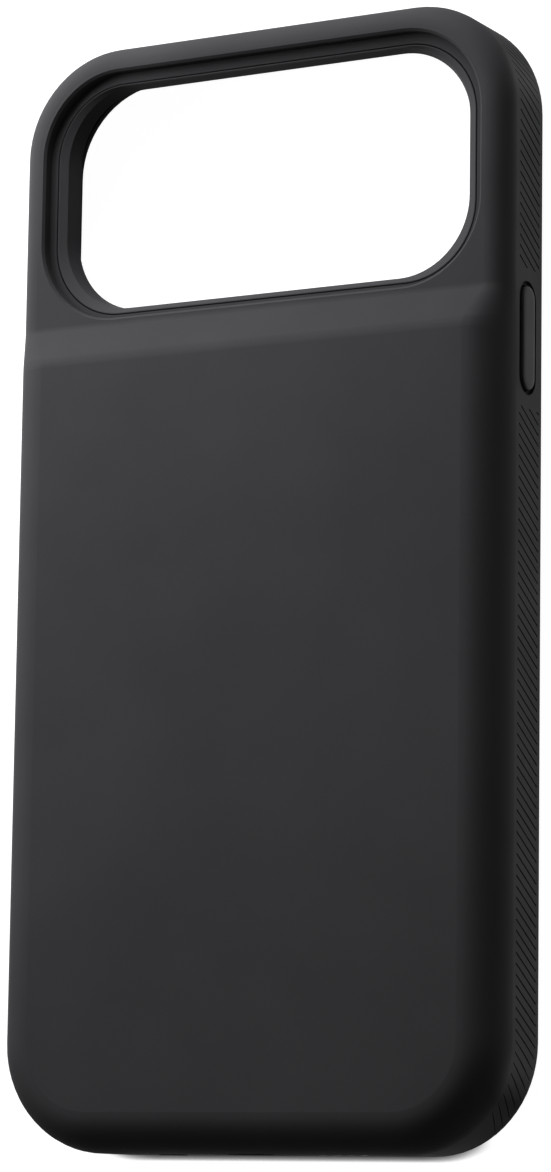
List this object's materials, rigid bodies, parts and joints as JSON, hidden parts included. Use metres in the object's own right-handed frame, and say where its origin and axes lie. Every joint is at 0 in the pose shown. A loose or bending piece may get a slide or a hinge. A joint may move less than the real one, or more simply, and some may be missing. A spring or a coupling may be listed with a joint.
{
  "type": "phone battery case",
  "caption": "Soft matt phone case with a rear battery hump, wide camera window, grooved grip sides and press keys; holds a phone and charges it through a plug in the chin.",
  "frame": {"origin": "centre of the case's outline, in the plane of the front rim that it lies on", "axes": "+Y along the case towards the camera window end, +X across it towards the side key, +Z from the front rim to the back"},
  "size_m": [0.0826, 0.166, 0.016],
  "materials": {
    "soft_sleeve": "soft-touch matt black moulding",
    "soft_key": "soft-touch matt black key",
    "hard_bezel": "fine satin black",
    "hard_inner": "moulded black, satin",
    "lining": "short brushed pile",
    "adhesive": "adhesive strip",
    "cell_foil": "laminated foil pouch",
    "board": "solder mask over glass fibre",
    "nickel": "nickel strip",
    "lead_jacket": "silicone jacket",
    "steel": "stamped steel",
    "chip_resin": "moulded resin",
    "ferrite": "pressed ferrite",
    "capacitor_body": "fired body",
    "ivory_plastic": "moulded plastic",
    "gilt_pin": "gilt pin",
    "lamp": "lamp body",
    "clear_guide": "frosted light guide"
  },
  "bodies": {
    "case": {"outer_sleeve": "soft_sleeve", "camera_bezel": "hard_bezel", "inner_tray": "hard_inner", "bay_lining": "lining", "chin_cover": "hard_inner", "battery_tape": "adhesive", "battery_cell": "cell_foil", "protection_board": "board", "battery_tabs": "nickel", "battery_leads": "lead_jacket", "control_board": "board", "board_screws": "steel", "charger_chip": "chip_resin", "power_inductor": "ferrite", "capacitors": "capacitor_body", "battery_socket": "ivory_plastic", "connector_board": "board", "link_pins": "gilt_pin", "phone_plug_shell": "steel", "phone_plug_core": "hard_inner", "plug_collar": "hard_inner", "charging_port_shell": "steel", "charging_port_tongue": "hard_inner", "status_switch": "steel", "status_lamps": "lamp", "light_guides": "clear_guide"},
    "side_key": {"side_key": "soft_key"},
    "volume_up_key": {"volume_up_key": "soft_key"},
    "volume_down_key": {"volume_down_key": "soft_key"},
    "status_button": {"status_button": "soft_key"}
  },
  "joints": [
    {"name": "side_key_press", "type": "slide", "parent": "case", "child": "side_key", "axis": [-1, 0, 0], "range_m": [0, 0.0003], "stiffness_N_per_m": 1500},
    {"name": "volume_up_press", "type": "slide", "parent": "case", "child": "volume_up_key", "axis": [1, 0, 0], "range_m": [0, 0.0003], "stiffness_N_per_m": 1500},
    {"name": "volume_down_press", "type": "slide", "parent": "case", "child": "volume_down_key", "axis": [1, 0, 0], "range_m": [0, 0.0003], "stiffness_N_per_m": 1500},
    {"name": "status_button_press", "type": "slide", "parent": "case", "child": "status_button", "axis": [0, 1, 0], "range_m": [0, 0.00025], "stiffness_N_per_m": 1500}
  ]
}
